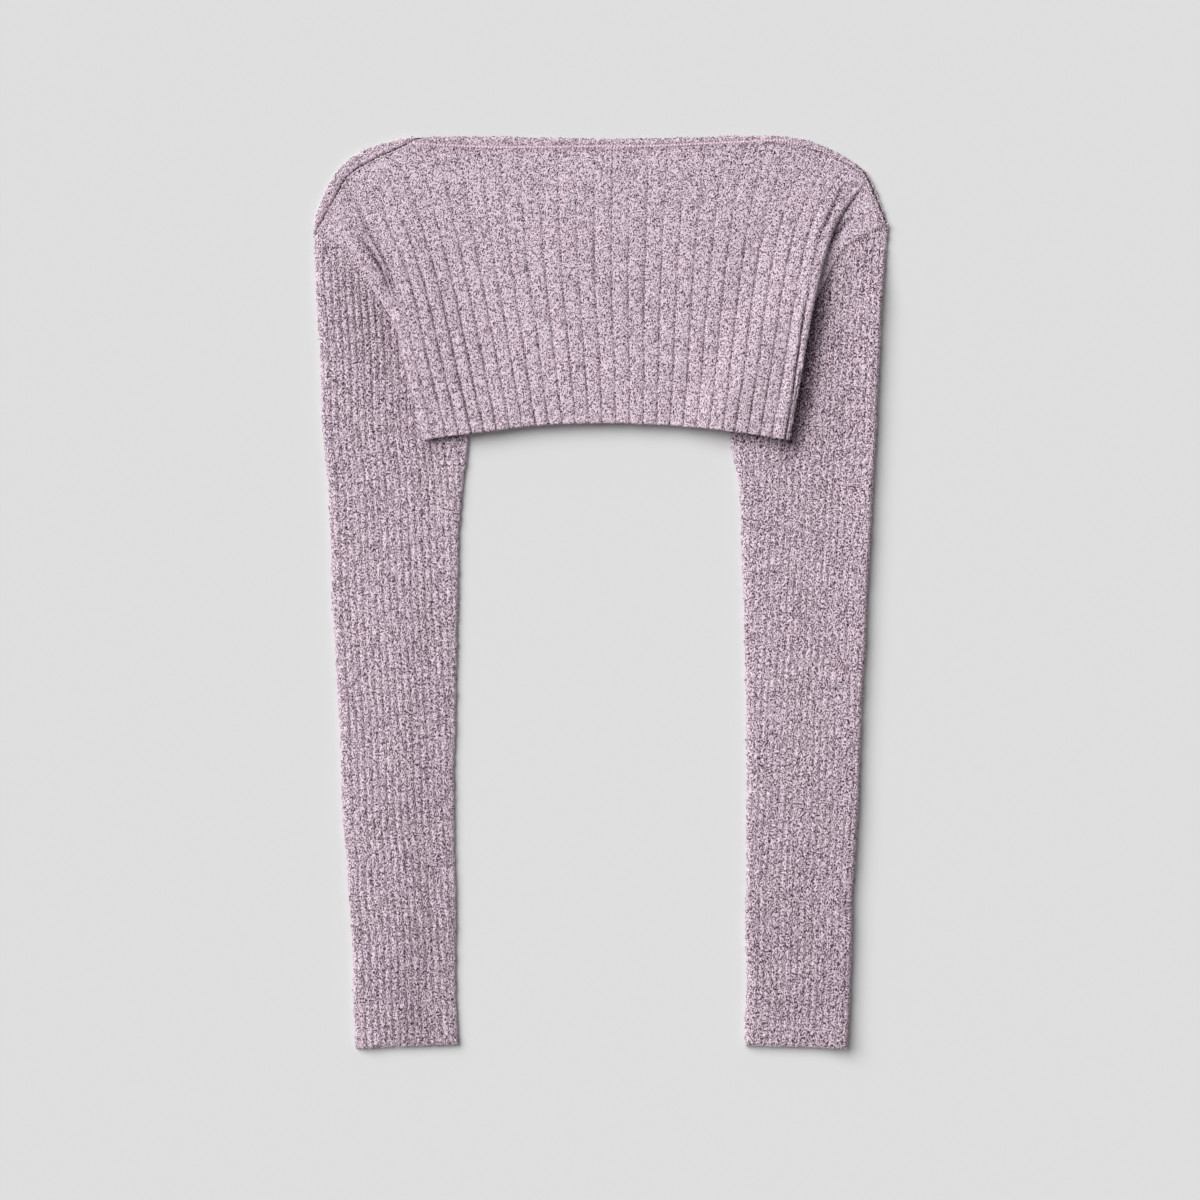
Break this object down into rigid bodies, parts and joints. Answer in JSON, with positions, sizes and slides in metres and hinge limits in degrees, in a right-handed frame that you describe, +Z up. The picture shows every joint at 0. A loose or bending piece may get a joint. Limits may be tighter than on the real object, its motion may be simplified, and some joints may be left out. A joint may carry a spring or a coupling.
{
  "type": "knitted shrug",
  "caption": "Cropped rib-knit shrug laid flat, with a body whose ribs fan out to a wide boat neck, long slim ribbed sleeves and a narrow neckband.",
  "frame": {"origin": "on the surface the garment lies on, under the middle of its bounding box", "axes": "+X across the garment to the right of the view from above, +Y from the cuffs up to the neck, +Z up from the surface"},
  "size_m": [0.4607, 0.7292, 0.015],
  "materials": {
    "body_knit": "brushed boucle rib knit, lilac pink, matt",
    "sleeve_knit": "narrow boucle rib knit, lilac pink, matt",
    "band_knit": "plain knit neckband, pinker lilac, matt"
  },
  "bodies": {
    "root": {"front_panel": "body_knit", "back_panel": "body_knit", "sleeve_left": "sleeve_knit", "sleeve_right": "sleeve_knit", "neckband_front": "band_knit", "neckband_back": "band_knit"}
  },
  "joints": []
}
